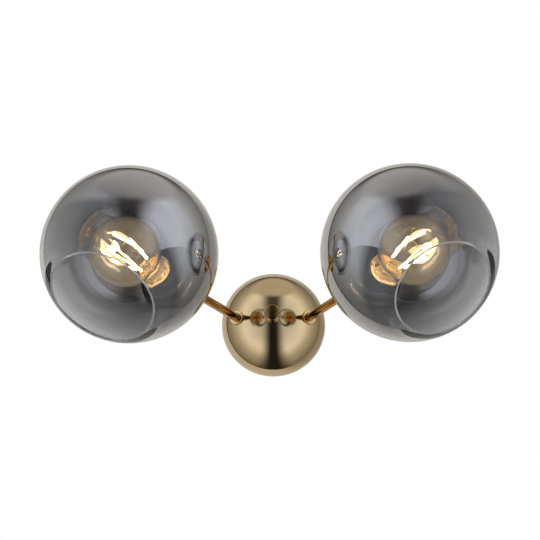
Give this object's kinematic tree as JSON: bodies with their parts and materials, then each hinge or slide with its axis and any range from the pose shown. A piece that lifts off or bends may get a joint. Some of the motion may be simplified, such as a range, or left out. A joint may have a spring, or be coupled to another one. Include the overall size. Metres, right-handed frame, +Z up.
{
  "type": "double arm wall sconce",
  "caption": "Wall light with a half-ball canopy, two straight oblique arms and smoked glass globes with oblique mouths round filament bulbs.",
  "frame": {"origin": "middle of the canopy on the wall plane, centre of the bracket's slots", "axes": "+Z up, +X to the viewer's right, -Y out of the wall into the room"},
  "size_m": [0.3856, 0.2817, 0.15],
  "materials": {
    "gold_canopy": "polished pale gold plate",
    "gold_arm": "polished gold plate",
    "zinc_steel": "zinc plated",
    "brass_hardware": "bare brass",
    "block_plastic": "moulded, natural white",
    "lead_sheath": "heat-proof sheath",
    "black_phenolic": "moulded phenolic, satin",
    "smoked_glass": "smoke tint with a thin mirror coat",
    "clear_glass": "clear, blown",
    "bulb_brass": "rolled brass cap",
    "black_vitrite": "black glass insulator",
    "solder_tin": "solder",
    "lit_filament": "phosphor-coated stick, lit",
    "nickel_wire": "drawn nickel wire"
  },
  "bodies": {
    "fixture": {"canopy": "gold_canopy", "wall_bracket": "zinc_steel", "centre_stud": "zinc_steel", "stud_nuts": "zinc_steel", "earth_screw": "brass_hardware", "terminal_block": "block_plastic", "terminal_screws": "zinc_steel", "block_screw": "zinc_steel", "left_lead": "lead_sheath", "left_arm_tube": "gold_arm", "left_arm_collar": "gold_arm", "left_arm_saddle": "zinc_steel", "left_arm_nut": "zinc_steel", "left_holder_cup": "gold_arm", "left_cup_nut": "zinc_steel", "left_holder_base": "black_phenolic", "left_holder_screws": "zinc_steel", "left_holder_sleeve": "black_phenolic", "left_screw_shell": "brass_hardware", "left_spring_contact": "brass_hardware", "right_lead": "lead_sheath", "right_arm_tube": "gold_arm", "right_arm_collar": "gold_arm", "right_arm_saddle": "zinc_steel", "right_arm_nut": "zinc_steel", "right_holder_cup": "gold_arm", "right_cup_nut": "zinc_steel", "right_holder_base": "black_phenolic", "right_holder_screws": "zinc_steel", "right_holder_sleeve": "black_phenolic", "right_screw_shell": "brass_hardware", "right_spring_contact": "brass_hardware"},
    "knob": {"canopy_knob": "gold_canopy"},
    "left_shade": {"left_globe": "smoked_glass"},
    "left_ring": {"left_shade_ring": "black_phenolic"},
    "left_bulb": {"left_bulb_glass": "clear_glass", "left_bulb_cap": "bulb_brass", "left_bulb_insulator": "black_vitrite", "left_bulb_contact": "solder_tin", "left_bulb_stem": "clear_glass", "left_bulb_filaments": "lit_filament", "left_bulb_wires": "nickel_wire"},
    "right_shade": {"right_globe": "smoked_glass"},
    "right_ring": {"right_shade_ring": "black_phenolic"},
    "right_bulb": {"right_bulb_glass": "clear_glass", "right_bulb_cap": "bulb_brass", "right_bulb_insulator": "black_vitrite", "right_bulb_contact": "solder_tin", "right_bulb_stem": "clear_glass", "right_bulb_filaments": "lit_filament", "right_bulb_wires": "nickel_wire"}
  },
  "joints": [
    {"name": "knob_turn", "type": "hinge", "parent": "fixture", "child": "knob", "pos_m": [0, -0.057, 0], "axis": [0, -1, 0], "continuous": true},
    {"name": "left_shade_turn", "type": "hinge", "parent": "fixture", "child": "left_shade", "pos_m": [-0.08598, -0.14255, 0.0128], "axis": [-0.442, -0.8905, 0.108], "continuous": true},
    {"name": "left_ring_turn", "type": "hinge", "parent": "fixture", "child": "left_ring", "pos_m": [-0.0904, -0.15145, 0.01388], "axis": [-0.442, -0.8905, 0.108], "continuous": true},
    {"name": "left_bulb_turn", "type": "hinge", "parent": "fixture", "child": "left_bulb", "pos_m": [-0.0935, -0.15769, 0.01463], "axis": [-0.442, -0.8905, 0.108], "continuous": true},
    {"name": "right_shade_turn", "type": "hinge", "parent": "fixture", "child": "right_shade", "pos_m": [0.08598, -0.14255, 0.0128], "axis": [0.442, -0.8905, 0.108], "continuous": true},
    {"name": "right_ring_turn", "type": "hinge", "parent": "fixture", "child": "right_ring", "pos_m": [0.0904, -0.15145, 0.01388], "axis": [0.442, -0.8905, 0.108], "continuous": true},
    {"name": "right_bulb_turn", "type": "hinge", "parent": "fixture", "child": "right_bulb", "pos_m": [0.0935, -0.15769, 0.01463], "axis": [0.442, -0.8905, 0.108], "continuous": true}
  ]
}
